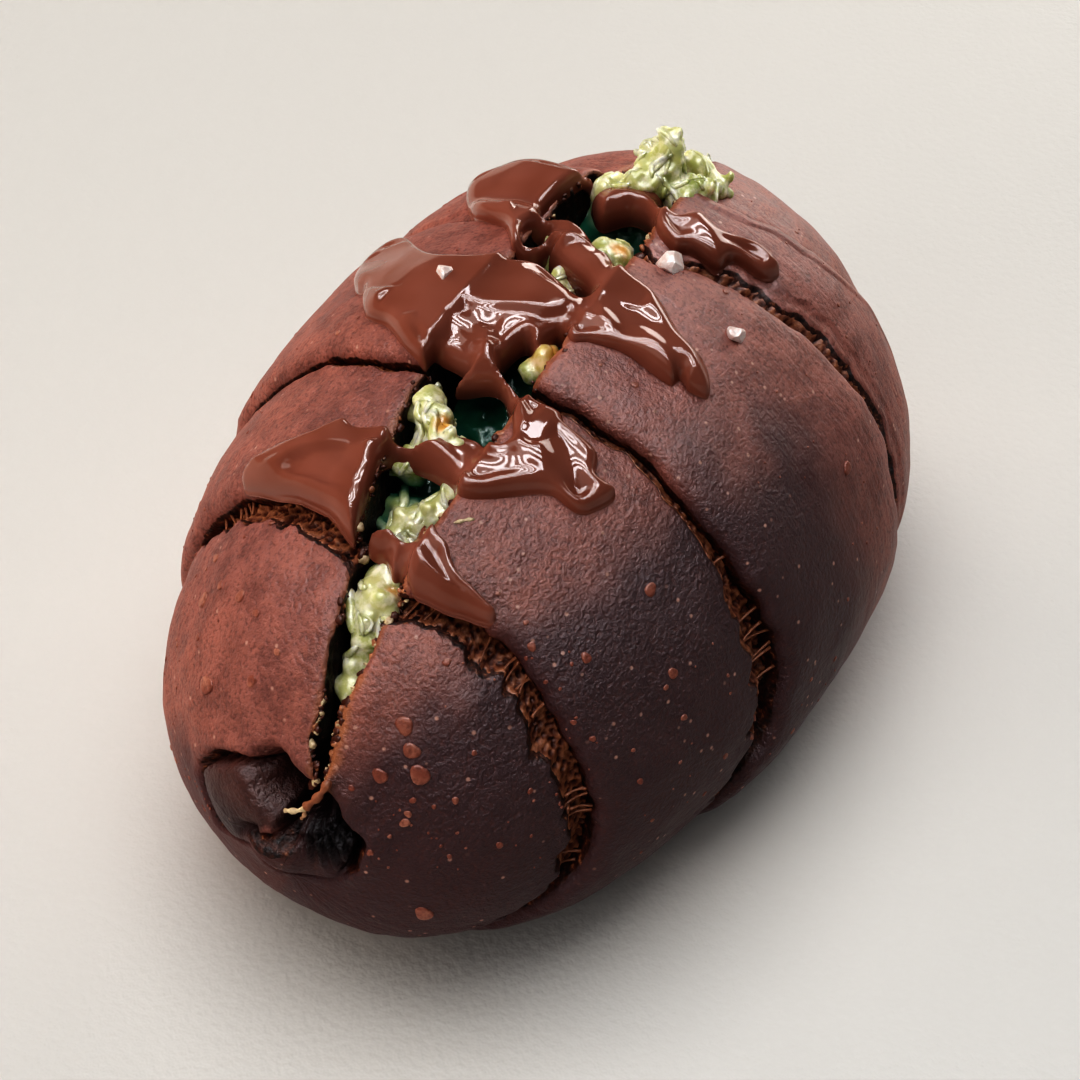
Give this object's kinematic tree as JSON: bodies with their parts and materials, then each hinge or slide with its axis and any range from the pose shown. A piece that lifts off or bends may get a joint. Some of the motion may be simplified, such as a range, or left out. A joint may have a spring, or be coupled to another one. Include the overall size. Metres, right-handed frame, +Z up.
{
  "type": "chocolate salt bread roll",
  "caption": "Oval chocolate bread roll of overlapping turns of dough, split along the top, filled with pistachio cream and topped with chocolate sauce and coarse salt.",
  "frame": {"origin": "centre of the flat underside, at the middle of the bounding box in X and Y", "axes": "+Z up; +X along the roll's length, from the end that shows the coil of dough to the plain end; +Y to the left side seen from the coil end"},
  "size_m": [0.1134, 0.0806, 0.0633],
  "materials": {
    "crust": "satin, finely wrinkled dark chocolate crust",
    "filling": "moist pistachio cream with pastry threads",
    "sauce": "glossy set chocolate sauce"
  },
  "bodies": {
    "root": {"bread": "crust", "filling": "filling", "chocolate_sauce": "sauce", "chocolate_sauce_front": "sauce"}
  },
  "joints": []
}
